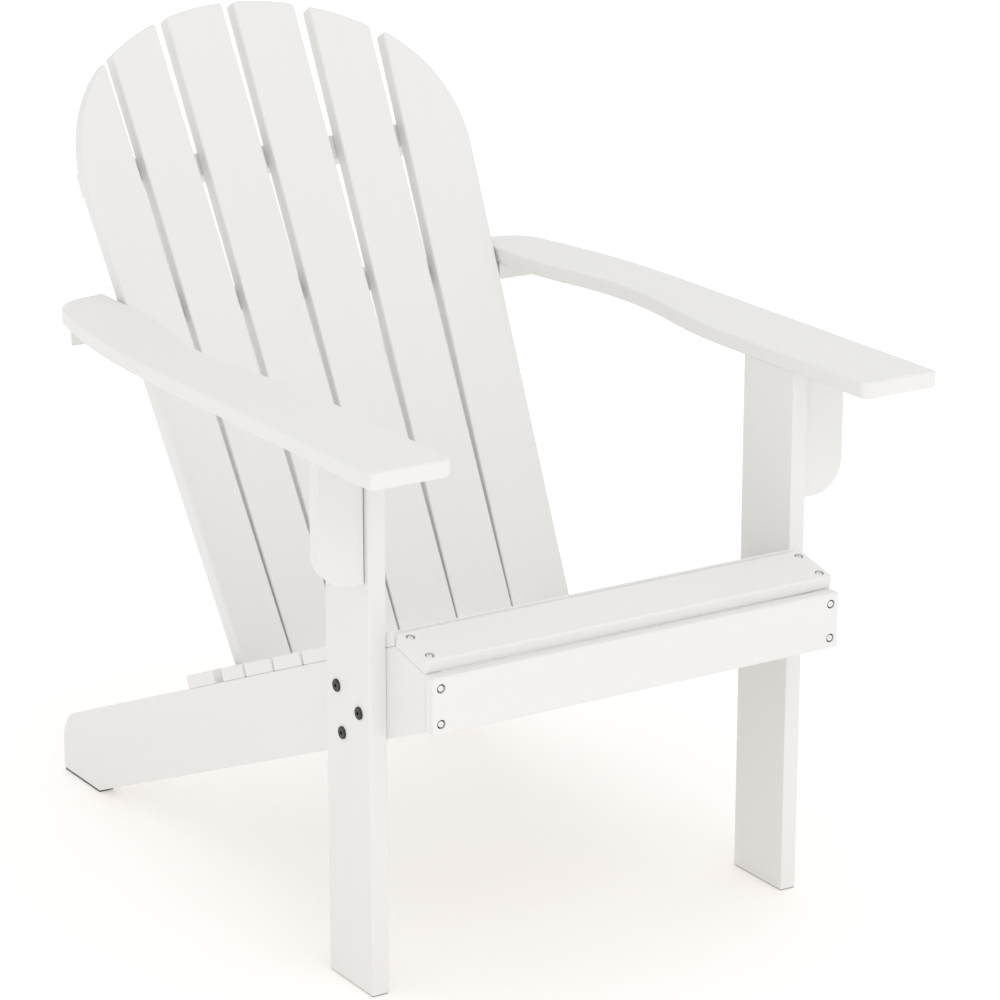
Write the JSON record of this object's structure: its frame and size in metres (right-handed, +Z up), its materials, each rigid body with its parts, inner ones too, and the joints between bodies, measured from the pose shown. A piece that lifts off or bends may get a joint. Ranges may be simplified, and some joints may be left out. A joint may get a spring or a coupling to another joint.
{
  "type": "adirondack chair",
  "caption": "Slatted outdoor armchair with a fanned, arched and reclined back, wide flat arms and a low seat that slopes to the rear.",
  "frame": {"origin": "on the floor, at the centre of the bounding box in X and Y", "axes": "+Z up, -Y toward the front of the chair (where a sitter's feet go), +X toward the sitter's left"},
  "size_m": [0.682, 0.911, 0.8883],
  "materials": {
    "board": "satin white paint or lacquer over a faint grain",
    "bolt_black": "black oxide, satin",
    "screw_steel": "plain stainless steel, satin",
    "dowel": "bare beech",
    "glide": "dark grey nylon, matt"
  },
  "bodies": {
    "root": {"apron_screws": "screw_steel", "arm_bracket_left": "board", "arm_bracket_right": "board", "arm_dowels_left": "dowel", "arm_dowels_right": "dowel", "arm_left": "board", "arm_rear_screws_left": "screw_steel", "arm_rear_screws_right": "screw_steel", "arm_right": "board", "back_rail_lower": "board", "back_rail_lower_end_screws": "screw_steel", "back_rail_lower_screws": "screw_steel", "back_rail_middle": "board", "back_rail_middle_screws": "screw_steel", "back_rail_upper": "board", "back_rail_upper_screws": "screw_steel", "back_slat_1": "board", "back_slat_2": "board", "back_slat_3": "board", "back_slat_4": "board", "back_slat_5": "board", "back_slat_6": "board", "bracket_dowels_left": "dowel", "bracket_dowels_right": "dowel", "front_apron": "board", "front_leg_left": "board", "front_leg_right": "board", "front_slat_screws": "screw_steel", "leg_bolt_nuts_left": "screw_steel", "leg_bolt_nuts_right": "screw_steel", "leg_bolt_washers_left": "screw_steel", "leg_bolt_washers_right": "screw_steel", "leg_bolts_left": "bolt_black", "leg_bolts_right": "bolt_black", "leg_glide_left": "glide", "leg_glide_right": "glide", "rail_glide_left": "glide", "rail_glide_right": "glide", "seat_rail_left": "board", "seat_rail_right": "board", "seat_slat_1": "board", "seat_slat_2": "board", "seat_slat_3": "board", "seat_slat_4": "board", "seat_slat_5": "board", "seat_slat_6": "board", "seat_slat_7": "board", "seat_slat_screws": "screw_steel"}
  },
  "joints": []
}
